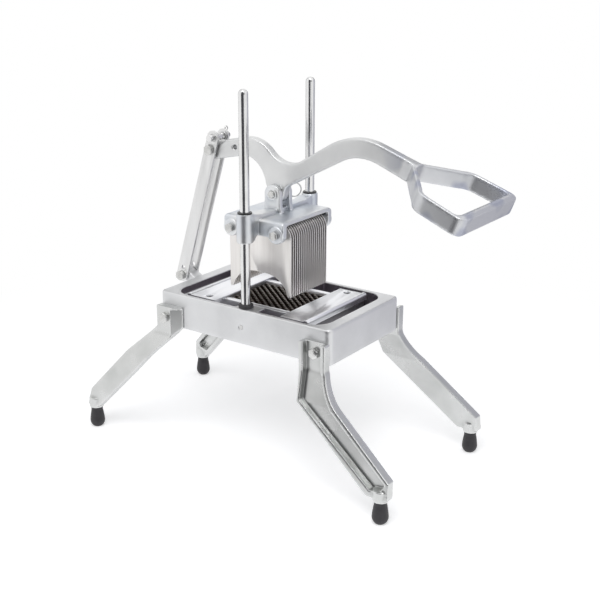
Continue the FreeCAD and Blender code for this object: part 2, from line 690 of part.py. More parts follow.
# Guide rods with domed tops, their bumpers, the screws under them and their set screws
def guide_rods():
    end_screws = []
    screws = []
    for side, word in ((-1, "left"), (1, "right")):
        x = side * rod_x
        shaft = cylinder("rod_shaft_" + word, rod_radius, rod_top - rod_radius - rod_low, x, 0,
                         rod_low)
        dome = document.addObject("Part::Sphere", "rod_dome_" + word)
        dome.Angle1 = 0
        bind(dome, "Radius", rod_radius)
        place(dome, x, 0, rod_top - rod_radius)
        tap = cylinder("rod_tap_" + word, size.rod_screw_width / 2 + size.seat_fit,
                       size.rod_screw_grip + 3, x, 0, rod_low - 1)
        name = "guide_rod_" + word
        nodes[name] = cut(name, fuse("rod_solid_" + word, [shaft, dome]), [tap])
        nodes["rod_bumper_" + word] = tube("rod_bumper_" + word, size.bumper_width / 2,
                                           rod_radius + size.seat_fit, size.bumper_tall, x, 0,
                                           size.frame_top)
        head = cylinder("rod_screw_head_" + word, size.rod_screw_head / 2, size.rod_screw_head_tall,
                        x, 0, rod_boss_low)
        socket = hexagon("rod_screw_socket_" + word, 5, 3, x, 0, rod_boss_low, "Z")
        core = cylinder("rod_screw_core_" + word, size.rod_screw_width / 2,
                        rod_low - rod_boss_low + size.rod_screw_grip, x, 0, rod_boss_low)
        end_screws.append(cut("rod_screw_" + word,
                              fuse("rod_screw_solid_" + word, [head, core]), [socket]))
        long = frame_half_wide - rod_x - rod_radius - 0.6
        start = rod_x + rod_radius if side > 0 else -(rod_x + rod_radius + long)
        screws.append(cylinder("set_screw_" + word, size.set_screw_width / 2, long, start, 0,
                               set_screw_height, "X"))
    nodes["rod_screws"] = group("rod_screws", end_screws)
    nodes["rod_set_screws"] = group("rod_set_screws", screws)


# Blade block: two slotted bars with rolled lips, two rails, and what holds them
def blade_bar(word, end, deep):
    inner = size.bar_inner
    outer = size.bar_inner + deep
    comb = inner + size.comb_thick
    top = block_top
    under = top - size.bar_plate
    lip = outer - size.bar_lip
    low = seat_height
    profile = [
        (inner, low), (inner, top), (lip, top), (lip + 1.4, top + 1.7, VIA),
        (outer - 3, top + 1.9), (outer - 0.5, top, VIA), (outer, top - 3.5),
        (outer, under - 3), (outer - 3, under - 3), (outer - 3, under), (comb, under), (comb, low),
    ]
    body = new_body("bar_profile_" + word)
    placed = [(end * point[0], point[1]) + tuple(point[2:]) for point in profile]
    feature(body, "Pad", "YZ", [placed], bar_long, both=True)
    slot_half = (size.blade_thick + size.side_gap) / 2
    first = blade_pitch_start * size.blade_pitch
    deepest = inner + size.blade_end + 0.2
    near = end * (inner - 1)
    far = end * deepest
    slot = [(first - slot_half, near), (first + slot_half, near), (first + slot_half, far),
            (first - slot_half, far)]
    slot_high = blade_high + 0.4
    saw = feature(body, "Pocket", "XY", [slot], slot_high - low + 1, slot_high)
    row = body.newObject("PartDesign::LinearPattern", "slots_" + word)
    row.Originals = [saw]
    row.Direction = (saw.Profile[0], ["H_Axis"])
    bind(row, "Length", (size.blade_count - 1) * size.blade_pitch)
    bind(row, "Occurrences", size.blade_count)
    body.Tip = row
    half = bar_long / 2
    pieces = [body]
    cheek_y = (-(lip + 1), -(comb - 1)) if end < 0 else (comb - 1, lip + 1)
    for side, side_word in ((-1, "left"), (1, "right")):
        cheek_x = (half - size.bar_cheek, half) if side > 0 else (-half, -(half - size.bar_cheek))
        pieces.append(block("bar_cheek_%s_%s" % (word, side_word), cheek_x, cheek_y,
                            (low, under + 1)))
    screw_x = -end * block_screw_across
    screw_y = end * size.block_screw_along
    pieces.append(cylinder("bar_post_" + word, size.block_screw_head / 2 + 3, under - low + 1,
                           screw_x, screw_y, low))
    pin_y = end * (inner + size.blade_end / 2 + 0.9)
    sink = top - 5
    drills = [
        cylinder("bar_screw_hole_" + word, size.block_screw_width / 2 + size.seat_fit,
                 size.frame_tall, screw_x, screw_y, low - 1),
        cylinder("bar_screw_sink_" + word, size.block_screw_head / 2 + 0.5, 6, screw_x, screw_y,
                 sink),
        cylinder("bar_pin_hole_" + word, size.blade_pin_width / 2 + size.seat_fit,
                 bar_long + 2, -half - 1, pin_y, blade_pin_height, "X"),
    ]
    for side, side_word in ((-1, "left"), (1, "right")):
        x = side * (size.rail_inner + size.rail_thick / 2)
        start = end * (inner - 1) if end > 0 else -(comb + 1)
        drills.append(cylinder("bar_rail_hole_%s_%s" % (word, side_word),
                               size.rail_screw_width / 2 + size.seat_fit, size.comb_thick + 2, x,
                               start, rail_screw_height, "Y"))
    name = "blade_bar_" + word
    nodes[name] = cut(name, fuse("bar_whole_" + word, pieces), drills)
    return screw_x, screw_y, sink, pin_y


def blade_block():
    screws = []
    pins = []
    rail_screws = []
    comb = size.bar_inner + size.comb_thick
    for word, end, deep in (("front", -1, size.bar_front_deep), ("back", 1, size.bar_back_deep)):
        screw_x, screw_y, sink, pin_y = blade_bar(word, end, deep)
        head = cylinder("block_screw_head_" + word, size.block_screw_head / 2, 3.2, screw_x,
                        screw_y, sink)
        socket = hexagon("block_screw_socket_" + word, 4, 2.4, screw_x, screw_y, sink + 1.2, "Z")
        shaft = cylinder("block_screw_shaft_" + word, size.block_screw_width / 2,
                         sink - seat_low + 0.5, screw_x, screw_y, seat_low)
        screws.append(cut("block_screw_" + word,
                          fuse("block_screw_solid_" + word, [head, shaft]), [socket]))
        half = bar_long / 2 - 1
        pins.append(cylinder("blade_pin_" + word, size.blade_pin_width / 2, half * 2, -half, pin_y,
                             blade_pin_height, "X"))
        for side, side_word in ((-1, "left"), (1, "right")):
            x = side * (size.rail_inner + size.rail_thick / 2)
            tag = "%s_%s" % (word, side_word)
            head_y = comb if end > 0 else -(comb + 3)
            shaft_y = size.bar_inner - 10 if end > 0 else -(comb + 1)
            cap = cylinder("rail_screw_head_" + tag, size.rail_screw_width / 2 + 1.6, 3, x, head_y,
                           rail_screw_height, "Y")
            core = cylinder("rail_screw_shaft_" + tag, size.rail_screw_width / 2,
                            size.comb_thick + 11, x, shaft_y, rail_screw_height, "Y")
            rail_screws.append(fuse("rail_screw_" + tag, [cap, core]))
    nodes["block_screws"] = group("block_screws", screws)
    nodes["blade_pins"] = group("blade_pins", pins)
    nodes["rail_screws"] = group("rail_screws", rail_screws)
    for side, word in ((-1, "left"), (1, "right")):
        near, far = size.rail_inner, size.rail_inner + size.rail_thick
        ends = (near, far) if side > 0 else (-far, -near)
        bar = block("rail_form_" + word, ends, (-size.bar_inner, size.bar_inner),
                    (seat_height, block_top - size.rail_drop))
        taps = []
        for end, end_word in ((-1, "front"), (1, "back")):
            start = size.bar_inner - 11 if end > 0 else -size.bar_inner - 1
            taps.append(cylinder("rail_tap_%s_%s" % (word, end_word),
                                 size.rail_screw_width / 2 + size.seat_fit, 12,
                                 side * (near + size.rail_thick / 2), start,
                                 rail_screw_height, "Y"))
        nodes["blade_rail_" + word] = cut("blade_rail_" + word, bar, taps)


# Blades: thin strips with a scalloped edge, every second one shifted by half a scallop
def blade_form(name, shift):
    end = size.bar_inner + size.blade_end
    high = blade_high
    deep = high - size.scallop_deep
    count = 9
    start = -(count / 2) * size.scallop_long + shift
    points = [(-end, blade_low), (-end, deep), (start, deep)]
    for number in range(count):
        low_y = start + number * size.scallop_long
        points += [
            (low_y + 0.5 * size.scallop_long, high, VIA),
            (low_y + size.scallop_long, deep),
        ]
    points += [(end, deep), (end, blade_low)]
    pin_y = size.bar_inner + size.blade_end / 2 + 0.9
    body = new_body(name)
    hole = size.blade_pin_width / 2 + 0.1
    circles = [(side * pin_y, blade_pin_height, hole) for side in (-1, 1)]
    feature(body, "Pad", "YZ", [points], size.blade_thick, both=True, circles=circles)
    return body


def slicing_blades():
    quarter = size.scallop_long / 4
    forms = [blade_form("blade_even", quarter), blade_form("blade_odd", -quarter)]
    strips = []
    for number in blades:
        x = (blade_pitch_start + number) * size.blade_pitch
        strips.append(copy("blade_strip_%02d" % number, forms[number % 2], x))
    nodes["slicing_blades"] = group("slicing_blades", strips)


# Links: two flat bars with round ends between the base and the back of the lever
link_lean_y = base_pivot_back - size.lever_pivot_back
link_lean_z = lever_pivot_height - base_pivot_height
link_long = length_of(link_lean_y, link_lean_z)
stop_share = 1 + size.stop_reach / link_long
stop_y = base_pivot_back - link_lean_y * stop_share
stop_z = base_pivot_height + link_lean_z * stop_share


def links():
    half = size.link_wide / 2
    top = link_long + size.stop_reach
    outline = [(half, 0), (half, top), (0, top + half, VIA), (-half, top), (-half, 0),
               (0, -half, VIA)]
    turn = Size(17.0, "atan2(%s; %s)" % (link_lean_y.text, link_lean_z.text))
    holes = [
        (0, 0, pivot_radius + size.running_fit),
        (0, size.spare_hole, size.spare_hole_width / 2),
        (0, link_long, pivot_radius + size.seat_fit),
        (0, top, size.stop_pin_width / 2 + size.seat_fit),
    ]
    for word, start in (("left", -link_outside), ("right", link_inside)):
        name = "link_" + word
        body = new_body(name)
        feature(body, "Pad", "YZ", [outline], size.link_thick, circles=holes)
        body.Placement = FreeCAD.Placement(Vector(), FreeCAD.Rotation(Vector(1, 0, 0), 10))
        place(body, start, base_pivot_back, base_pivot_height)
        body.setExpression("Placement.Rotation.Angle", turn.text)
        nodes[name] = body


# A bolt along X with its head on the left and its nut on the right
def cross_bolt(name, radius, flats, head, seat, y, z, tail=2):
    shaft = cylinder(name + "_shaft", radius, seat * 2 + head + tail, -seat, y, z, "X")
    cap = hexagon(name + "_head", flats, head, -(seat + head), y, z)
    nut = hexagon(name + "_nut_form", flats, head, seat, y, z)
    hole = cylinder(name + "_nut_hole", radius + size.seat_fit, head, seat, y, z, "X")
    return fuse(name, [shaft, cap]), cut(name + "_nut", nut, [hole])


def link_pins():
    seat = link_outside + size.side_gap
    bolt, nut = cross_bolt("base_pivot_bolt", pivot_radius, size.pivot_flats, size.pivot_head, seat,
                           base_pivot_back, base_pivot_height)
    nodes["base_pivot_bolt"] = bolt
    nodes["base_pivot_nut"] = nut
    bolt, nut = cross_bolt("lever_pivot_bolt", pivot_radius, size.pivot_flats, size.pivot_head,
                           link_outside, size.lever_pivot_back, lever_pivot_height)
    nodes["lever_pivot_bolt"] = bolt
    nodes["lever_pivot_nut"] = nut
    washers = []
    thick = link_inside - lever_half - size.side_gap
    for word, start in (("left", -link_inside), ("right", link_inside - thick)):
        washers.append(tube("lever_washer_" + word, size.washer_width / 2,
                            pivot_radius + size.seat_fit, thick, start, size.lever_pivot_back,
                            lever_pivot_height, "X"))
    nodes["lever_washers"] = group("lever_washers", washers)
    radius = size.stop_pin_width / 2
    far = link_outside + size.stop_pin_proud
    long = far * 2
    body = cylinder("stop_pin_body", radius, long, -far, stop_y, stop_z, "X")
    groove = tube("stop_pin_groove", radius + 1, radius - 0.9, 1, -(link_outside + 1.2), stop_y,
                  stop_z, "X")
    clip_x = far - 3
    clip_hole = cylinder("stop_pin_clip_hole", 1.1, radius * 2 + 4, clip_x, stop_y,
                         stop_z - radius - 2)
    nodes["stop_pin"] = cut("stop_pin", body, [groove, clip_hole])
    leg = cylinder("clip_leg", 1, radius * 2 + 4, clip_x, stop_y, stop_z - radius - 2)
    eye = document.addObject("Part::Torus", "clip_eye")
    eye.Placement = FreeCAD.Placement(Vector(), FreeCAD.Rotation(Vector(1, 0, 0), 90))
    bind(eye, "Radius1", 2.6)
    bind(eye, "Radius2", 0.8)
    place(eye, clip_x, stop_y, stop_z + radius + 4.4)
    nodes["stop_pin_clip"] = fuse("stop_pin_clip", [leg, eye])


# Lever: a curved arm over the clevis pin, hooked at the back, with a D-shaped grip at the front
def lever():
    pin = pin_height
    back = size.lever_pivot_back
    height = lever_pivot_height
    lobe = size.lobe_radius
    grip = size.grip_start_front
    root = grip_start_height
    step = back / 100
    bend = size.pivot_bolt_width / 8
    arm = [
        (back - step * 18.6, height + step * 13.4), (step * 50.4, pin + step * 64.9),
        (step * 28, pin + step * 63.8, VIA), (step * 9.1, pin + step * 51.9),
        (-step * 13.2, pin + step * 40.2, VIA), (-step * 37.8, pin + step * 45.2),
        (-step * 78.3, pin + step * 69.6), (-step * 113.4, pin + step * 81.3, VIA),
        (-step * 150.2, pin + step * 76.9), (-(grip + 12), root + 9.4), (-(grip + 2), root - 14.5),
        (-step * 146.5, pin + step * 53.9), (-step * 120.4, pin + step * 58, VIA),
        (-step * 94.8, pin + step * 50.9), (-step * 23.7, pin + step * 13.6),
        (-(lobe + 2.6), pin + lobe * 0.58, VIA), (-lobe, pin - 1), (0, pin - lobe, VIA),
        (lobe, pin - 1), (lobe + 0.7, pin + 3.5, VIA), (lobe + 3.5, pin + 11),
        (step * 25.8, pin + step * 31.7, VIA), (step * 45.6, pin + step * 42.5),
        (back - bend * 4, height - bend * 13.6), (back + bend * 6.4, height - bend * 11.4, VIA),
        (back + bend * 11, height - bend * 4.9), (back, height - bend * 4.9),
        (back - bend * 4.8, height, VIA), (back - bend * 3, height + bend * 5),
        (back + bend * 0.8, height + bend * 7.4), (back + bend * 1.6, height + bend * 9.6),
        (back - bend * 13, height + bend * 9.6),
    ]
    bar = pad("lever_arm", "YZ", arm, size.lever_thick, both=True)
    half = size.grip_half
    long = size.grip_long
    strap = size.grip_strap
    outside = [
        (-7, 12), (7, 12), (8.5, -1), (half - 16, -38.5), (half - 7, -46, VIA), (half - 3, -56),
        (half, -(long - 13)), (half - 3.5, -(long - 3.6), VIA), (half - 13, -long),
        (-(half - 13), -long), (-(half - 3.5), -(long - 3.6), VIA), (-half, -(long - 13)),
        (-(half - 3), -56), (-(half - 7), -46, VIA), (-(half - 16), -38.5), (-8.5, -1),
    ]
    bar_back = long - size.grip_bar_thick + 1
    inside = [
        (-9, -8.5), (0, -7.6, VIA), (9, -8.5), (half - 20, -43.5),
        (half - 12.5, -49.5, VIA), (half - 3 - strap, -58), (half - strap, -(bar_back - 7)),
        (half - strap - 2.4, -(bar_back - 1.8), VIA), (half - strap - 7.5, -bar_back),
        (-(half - strap - 7.5), -bar_back), (-(half - strap - 2.4), -(bar_back - 1.8), VIA),
        (-(half - strap), -(bar_back - 7)), (-(half - 3 - strap), -58),
        (-(half - 12.5), -49.5, VIA), (-(half - 20), -43.5),
    ]
    hoop = new_body("grip_hoop")
    feature(hoop, "Pad", "XY", [outside, inside], size.grip_tall, both=True)
    thick = size.grip_bar_thick / 2
    tall = size.grip_bar_tall / 2
    middle = -(long - thick)
    stadium = [
        (middle + thick, tall - thick), (middle, tall, VIA), (middle - thick, tall - thick),
        (middle - thick, -(tall - thick)), (middle, -tall, VIA), (middle + thick, -(tall - thick)),
    ]
    handle = pad("grip_bar", "YZ", stadium, (half - 8) * 2, both=True)
    for piece in (hoop, handle):
        piece.Placement = FreeCAD.Placement(Vector(), FreeCAD.Rotation(Vector(1, 0, 0), 10))
        place(piece, 0, -grip, root)
        bind(piece, "Placement.Rotation.Angle", size.grip_tilt)
    across = size.lever_thick + 2
    drills = [
        cylinder("lever_pin_hole", pin_radius + size.running_fit, across, -across / 2, 0, pin, "X"),
        cylinder("lever_spare_hole", size.lever_hole_width / 2, across, -across / 2,
                 back - step * 35.9, height + step * 6.3, "X"),
    ]
    nodes["lever"] = cut("lever", fuse("lever_whole", [bar, hoop, handle]), drills)


# Pusher head: an upside-down channel with bolt lugs, two sleeves on a spine, and a clevis
def pusher_head():
    half = size.head_half
    inner = half - size.head_flange
    top = head_top
    under = top - size.head_plate
    along = size.head_along
    lug_z = fin_bolt_height
    lug_y = size.fin_bolt_along
    lug = size.lug_radius
    channel = [
        (half, lug_z - lug), (half, top - 5), (half - 1.5, top - 1.5, VIA), (half - 5, top),
        (-(half - 5), top), (-(half - 1.5), top - 1.5, VIA), (-half, top - 5),
        (-half, lug_z - lug), (-inner, lug_z - lug), (-inner, under - 3),
        (-(inner - 0.9), under - 0.9, VIA), (-(inner - 3), under), (inner - 3, under),
        (inner - 0.9, under - 0.9, VIA), (inner, under - 3), (inner, lug_z - lug),
    ]
    low = flange_low
    side = [
        (along - 5, top), (along - 1.5, top - 1.5, VIA), (along, top - 5), (along, lug_z),
        (lug_y + lug * 0.707, lug_z - lug * 0.707, VIA), (lug_y, lug_z - lug),
        (lug_y - lug * 0.64, lug_z - lug * 0.77, VIA), (lug_y - lug, low),
    ]
    side = both_sides(side)
    body_long = pad("head_channel", "XZ", channel, along * 2 + 4, lift=-(along + 2))
    outline = pad("head_side", "YZ", side, half * 2 + 4, both=True)
    pieces = [common("head_shell", [body_long, outline])]
    sleeve = size.sleeve_width / 2
    sleeve_in = rod_x - sleeve
    high = sleeve_high
    spine = [
        (rod_x, high - 2), (sleeve_in, high - 2), (half - 8, spine_high),
        (-(half - 8), spine_high), (-sleeve_in, high - 2), (-rod_x, high - 2),
        (-rod_x, sleeve_low + 1), (-(sleeve_in + 1), sleeve_low + 1),
        (-(sleeve_in - 2.6), low - 0.5, VIA), (-(half - 1), low + 1.5), (-(half - 1), under + 1),
        (half - 1, under + 1), (half - 1, low + 1.5), (sleeve_in - 2.6, low - 0.5, VIA),
        (sleeve_in + 1, sleeve_low + 1), (rod_x, sleeve_low + 1),
    ]
    pieces.append(pad("head_spine", "XZ", spine, size.spine_thick, both=True))
    ear = size.ear_radius
    pin = pin_height
    ear_outline = [
        (ear + 3.5, top - 1), (ear + 1, top + 5, VIA), (ear, top + 12), (ear, pin),
        (0, pin + ear, VIA), (-ear, pin), (-ear, top + 12), (-(ear + 1), top + 5, VIA),
        (-(ear + 3.5), top - 1),
    ]
    ear_in = size.ear_gap / 2
    ear_out = ear_in + size.ear_thick
    bore = rod_radius + size.running_fit + size.bushing_wall + size.seat_fit
    drills = []
    for sign, word in ((-1, "left"), (1, "right")):
        start = ear_in if sign > 0 else -ear_out
        pieces.append(pad("clevis_ear_" + word, "YZ", ear_outline, size.ear_thick, lift=start))
        boss_x = ear_out - 1 if sign > 0 else -(ear_out + 1)
        pieces.append(cylinder("clevis_boss_" + word, size.ear_boss, 2, boss_x, 0, pin, "X"))
        pieces.append(cylinder("sleeve_" + word, sleeve, high - sleeve_low, sign * rod_x, 0,
                               sleeve_low))
        drills.append(cylinder("sleeve_bore_" + word, bore, high - sleeve_low + 4, sign * rod_x, 0,
                               sleeve_low - 2))
        for end, end_word in ((-1, "front"), (1, "back")):
            start = half - 1 if sign > 0 else -(half + size.lug_proud)
            pieces.append(cylinder("bolt_lug_%s_%s" % (end_word, word), lug - 0.8,
                                   size.lug_proud + 1, start, end * lug_y, lug_z, "X"))
    for end, end_word in ((-1, "front"), (1, "back")):
        drills.append(cylinder("fin_bolt_hole_" + end_word, size.fin_bolt_width / 2 + size.seat_fit,
                               lug_outside * 2 + 2, -(lug_outside + 1), end * lug_y, lug_z, "X"))
    drills.append(cylinder("clevis_hole", pin_radius + size.seat_fit, ear_out * 2 + 6,
                           -(ear_out + 3), 0, pin, "X"))
    nodes["pusher_head"] = cut("pusher_head", fuse("head_whole", pieces), drills)
    for sign, word in ((-1, "left"), (1, "right")):
        name = "sleeve_bushing_" + word
        barrel = cylinder(name + "_barrel", bore - size.seat_fit, high - sleeve_low + 1,
                          sign * rod_x, 0, sleeve_low)
        collar = cylinder(name + "_collar", size.bushing_flange / 2, size.bushing_collar,
                          sign * rod_x, 0, high)
        hole = cylinder(name + "_hole", rod_radius + size.running_fit, high - sleeve_low + 8,
                        sign * rod_x, 0, sleeve_low - 2)
        nodes[name] = cut(name, fuse(name + "_solid", [barrel, collar]), [hole])


# Fins: plates with an arched lower edge, hung on two bolts with rings between them
def pusher_fins():
    along = size.fin_along
    high = head_top - size.head_plate - 0.5
    corner = size.fin_corner
    bend = corner * (1 - 0.7071068)
    low = fin_low
    arch = size.fin_arch
    outline = both_sides([
        (along - corner, high), (along - bend, high - bend, VIA), (along, high - corner),
        (along, low + 1), (along - 1, low), (along - 4.5, low), (along - 5.5, low + 1),
        (along - 14, low + arch * 0.6, VIA), (along - 31, low + arch - 1.2),
    ], middle=[(0, low + arch + 0.6, VIA)])
    body = new_body("fin_form")
    holes = [(side * size.fin_bolt_along, fin_bolt_height,
              size.fin_bolt_width / 2 + size.seat_fit) for side in (-1, 1)]
    feature(body, "Pad", "YZ", [outline], size.fin_thick, both=True, circles=holes)
    plates = []
    for number in fins:
        x = (fin_pitch_start + number) * size.blade_pitch
        plates.append(copy("fin_plate_%02d" % number, body, x))
    nodes["pusher_fins"] = group("pusher_fins", plates)
    ring = size.fin_bolt_width / 2 + size.seat_fit
    outer = size.spacer_width / 2
    rings = []
    for end, word in ((-1, "front"), (1, "back")):
        y = end * size.fin_bolt_along
        gap = size.blade_pitch - size.fin_thick
        washer = tube("spacer_form_" + word, outer, ring, gap, 0, y, fin_bolt_height, "X")
        for number in fins[:-1]:
            x = (fin_pitch_start + number) * size.blade_pitch + size.fin_thick / 2
            rings.append(copy("spacer_%s_%02d" % (word, number), washer, x))
        edge = -fin_pitch_start * size.blade_pitch + size.fin_thick / 2
        inner = size.head_half - size.head_flange
        for side_word, start in (("left", -inner), ("right", edge)):
            rings.append(tube("end_spacer_%s_%s" % (word, side_word), outer, ring, inner - edge,
                              start, y, fin_bolt_height, "X"))
    nodes["fin_spacers"] = group("fin_spacers", rings)
    bolts = []
    nuts = []
    for end, word in ((-1, "front"), (1, "back")):
        bolt, nut = cross_bolt("fin_bolt_" + word, size.fin_bolt_width / 2, size.fin_bolt_flats,
                               size.fin_bolt_head, lug_outside, end * size.fin_bolt_along,
                               fin_bolt_height)
        bolts.append(bolt)
        nuts.append(nut)
    nodes["fin_bolts"] = group("fin_bolts", bolts)
    nodes["fin_bolt_nuts"] = group("fin_bolt_nuts", nuts)


# Clevis pin with the wire ring that pulls it out
def clevis_pin():
    ear_out = size.ear_gap / 2 + size.ear_thick + 1
    eye = 5
    start = ear_out + 2
    pin = pin_height
    shank = cylinder("clevis_shank", pin_radius, start * 2, -start, 0, pin, "X")
    head = cylinder("clevis_eye", size.pin_eye_width / 2, eye, start, 0, pin, "X")
    eye_x = start + eye / 2
    hole = cylinder("clevis_eye_hole", size.ring_wire / 2 + 1, size.pin_width, eye_x, 0,
                    pin - size.pin_width / 2)
    nodes["clevis_pin"] = cut("clevis_pin", fuse("clevis_pin_solid", [shank, head]), [hole])
    wire = document.addObject("Part::Torus", "ring_form")
    wire.Placement = FreeCAD.Placement(Vector(), FreeCAD.Rotation(Vector(1, 0, 0), 90))
    bind(wire, "Radius1", size.ring_radius)
    bind(wire, "Radius2", size.ring_wire / 2)
    place(wire, size.ring_radius, 0, 0)
    ring = group("pin_ring", [wire])
    ring.Placement = FreeCAD.Placement(Vector(), FreeCAD.Rotation(Vector(0, 0, 1), -10))
    place(ring, eye_x, 0, pin)
    bind(ring, "Placement.Rotation.Angle", size.ring_turn)
    nodes["pin_ring"] = ring


base_frame()
legs()
feet()
guide_rods()
blade_block()
slicing_blades()
links()
link_pins()
lever()
pusher_head()
pusher_fins()
clevis_pin()

document.recompute()
for thing in document.Objects:
    for state in thing.State:
        if state in ("Invalid", "Error"):
            raise RuntimeError("%s failed: %s" % (thing.Name, thing.getStatusString()))
for name, thing in nodes.items():
    thing.Label = name
    if thing.Shape.isNull() or not thing.Shape.isValid():
        raise RuntimeError(name + " has no valid shape")
for name, thing in nodes.items():
    thing.Shape.exportStep("parts/%s.step" % name)
    box = thing.Shape.BoundBox
    print("%-22s %3d solids  X %7.1f %7.1f  Y %7.1f %7.1f  Z %6.1f %6.1f" % (
        name, len(thing.Shape.Solids), box.XMin, box.XMax, box.YMin, box.YMax, box.ZMin, box.ZMax))
print(len(nodes), "nodes")
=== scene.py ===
import json
import math

import bmesh
import bpy
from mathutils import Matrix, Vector


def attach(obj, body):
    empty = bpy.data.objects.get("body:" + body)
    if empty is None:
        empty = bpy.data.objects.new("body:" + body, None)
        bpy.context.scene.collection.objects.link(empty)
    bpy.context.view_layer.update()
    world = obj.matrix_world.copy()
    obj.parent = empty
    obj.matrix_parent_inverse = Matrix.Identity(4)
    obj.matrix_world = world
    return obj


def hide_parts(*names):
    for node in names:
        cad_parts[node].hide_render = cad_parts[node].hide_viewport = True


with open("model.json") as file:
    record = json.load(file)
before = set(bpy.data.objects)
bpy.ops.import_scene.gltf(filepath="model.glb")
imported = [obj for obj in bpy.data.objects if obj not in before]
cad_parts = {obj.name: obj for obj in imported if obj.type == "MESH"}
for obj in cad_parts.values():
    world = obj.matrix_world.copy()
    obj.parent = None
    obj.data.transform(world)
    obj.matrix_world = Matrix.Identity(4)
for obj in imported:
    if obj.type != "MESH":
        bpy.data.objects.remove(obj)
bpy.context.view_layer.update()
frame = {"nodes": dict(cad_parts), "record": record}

camera = {
    "place": (-1.1453, -0.8395, 0.6897),
    "target": (0.0183, -0.0226, 0.2060),
    "roll": 0.20,  # degrees
    "lens": 65.9,  # mm
    "sensor": 36,  # mm
}
studio = {
    "floorSize": 9.0,
    "floorColour": (0.86, 0.86, 0.865, 1),
    "floorLift": 0.42,  # light of its own, for the rays that see the floor
    "floorFade": (0.25, 0.85),  # distances between which the floor turns plain white
    "airColour": (0.97, 0.98, 1.0, 1),
    "ambient": 0.50,
    "darkSide": (-0.818, -0.575, 0.0),  # the room behind the photographer
    "darkCone": (0.55, 0.92),  # cosines to that side at which the dark starts and is full
    "darkLevel": 0.35,
}
lamps = {
    # name: place, aim, width, power
    "keyLamp": ((-1.2, -0.5, 2.2), (0, 0, 0.25), 1.6, 26.0),
    "fillLamp": ((1.6, -1.8, 1.2), (0, 0, 0.25), 1.6, 2.5),
}
flags = {
    # name: direction in degrees, distance, width, height, tone; dark cards that only metal mirrors
    "roomCard": (197, 0.50, 0.50, 1.3, 0.07),
    "rightEdgeCard": (357, 0.50, 0.12, 1.0, 0.14),
    "leftEdgeCard": (73, 0.50, 0.12, 1.0, 0.14),
    "blueCard": (323, 0.58, 0.58, 0.8, 0.56),
}
castings = {
    # node: voxel size, smoothing passes, share of faces kept
    "base_frame": (0.0012, 4, 0.90),
    "leg_front_right": (0.0007, 16, 0.85),
    "leg_back_right": (0.0007, 16, 0.85),
    "lever": (0.0009, 36, 0.95),
    "pusher_head": (0.0007, 8, 0.90),
}
softening = {
    "factor": 0.5,
    "wearAndShadeReach": 0.10,  # rise over its neighbours, in voxels, at which a point is fully rubbed bright; a point sunk by as much takes the full painted shade and grime of a hollow
    "wearAndShadePasses": 16,
    "lastFactor": 0.35,
    "lastPasses": 2,
}
apron = {"long": 0.140, "thick": 0.0016, "low": 0.1885, "high": 0.2085, "reach": 0.0928, "ease": 0.35}
easing = {"flat": 0.4, "sharp": 30, "shaded": 40}  # degrees at which faces merge, edges bevel, shading splits
edges = {
    # node: bevel width and steps
    "blade_bar_front": (0.0004, 2), "blade_bar_back": (0.0004, 2),
    "blade_rail_left": (0.0005, 2), "blade_rail_right": (0.0005, 2),
    "link_left": (0.0004, 2), "link_right": (0.0004, 2),
    "leg_bolts": (0.0004, 2), "fin_bolts": (0.0003, 2), "fin_bolt_nuts": (0.0003, 2),
    "base_pivot_bolt": (0.0004, 2), "base_pivot_nut": (0.0004, 2),
    "lever_pivot_bolt": (0.0004, 2), "lever_pivot_nut": (0.0004, 2),
    "stop_pin": (0.0004, 2), "clevis_pin": (0.0004, 2), "block_screws": (0.00025, 1),
    "rod_bumper_left": (0.0006, 2), "rod_bumper_right": (0.0006, 2),
    "sleeve_bushing_left": (0.0003, 1), "sleeve_bushing_right": (0.0003, 1),
    "pusher_fins": (0.0002, 1),
    "rod_screws": (0.0003, 1),
}
mouthShadeTone = {
    # half width, half length and top of the walls, each with how sharply the painted shade ends; the colour
    # is painted shade, the added roughness a rougher as-cast wall
    "limits": {"X": (0.0778, 2500), "Y": (0.1228, 2500), "Z": (0.2158, 900)},
    "colour": (0.150, 0.132, 0.155),
    "rougher": 0.18,
}
gripTone = {
    "reach": (-0.150, -0.215),  # where along Y the patches start and are full
    "patchScale": 26,
    "colour": (0.46, 0.48, 0.56),
    "rougher": 0.12,
}
# rubbed edges, and hollows painted with shade and grime
wearAndShadeTone = {
    "edgeShare": 0.45,
    "edgeColour": (0.86, 0.865, 0.87),
    "edgePolish": 0.08,
    "hollowShadeShare": 1.6,
    "hollowShadeDark": 0.55,  # times the dark tone of the casting, painted shade and grime in the hollows
}
bladeShadeAndGlint = {
    "edge": (0.2098, 0.2109),  # heights between which the painted-dark side of a blade turns into the painted highlight along its edge
    "shadedFlank": ((0.18, 0.14, 0.12), (0.34, 0.28, 0.25)),
    "edgeHighlight": (0.90, 0.84, 0.78),
}
screwTone = {
    "socket": (0.2128, 0.2131),  # heights between which the socket turns into the head
    "shadow": (0.012, 0.012, 0.014),
    "head": ((0.03, 0.03, 0.035), (0.40, 0.40, 0.42)),
}


# materials

def newMaterial(name):
    material = bpy.data.materials.new(name)
    material.use_nodes = True
    tree = material.node_tree
    tree.nodes.clear()
    output = tree.nodes.new("ShaderNodeOutputMaterial")
    shader = tree.nodes.new("ShaderNodeBsdfPrincipled")
    tree.links.new(shader.outputs["BSDF"], output.inputs["Surface"])
    return material, tree, shader


def objectCoordinates(tree, scale=(1, 1, 1)):
    coordinates = tree.nodes.new("ShaderNodeTexCoord")
    mapping = tree.nodes.new("ShaderNodeMapping")
    mapping.inputs["Scale"].default_value = scale
    tree.links.new(coordinates.outputs["Object"], mapping.inputs["Vector"])
    return mapping.outputs["Vector"]


def noise(tree, vector, scale, detail=3, rough=0.55):
    texture = tree.nodes.new("ShaderNodeTexNoise")
    texture.inputs["Scale"].default_value = scale
    texture.inputs["Detail"].default_value = detail
    texture.inputs["Roughness"].default_value = rough
    tree.links.new(vector, texture.inputs["Vector"])
    return texture.outputs["Fac"]


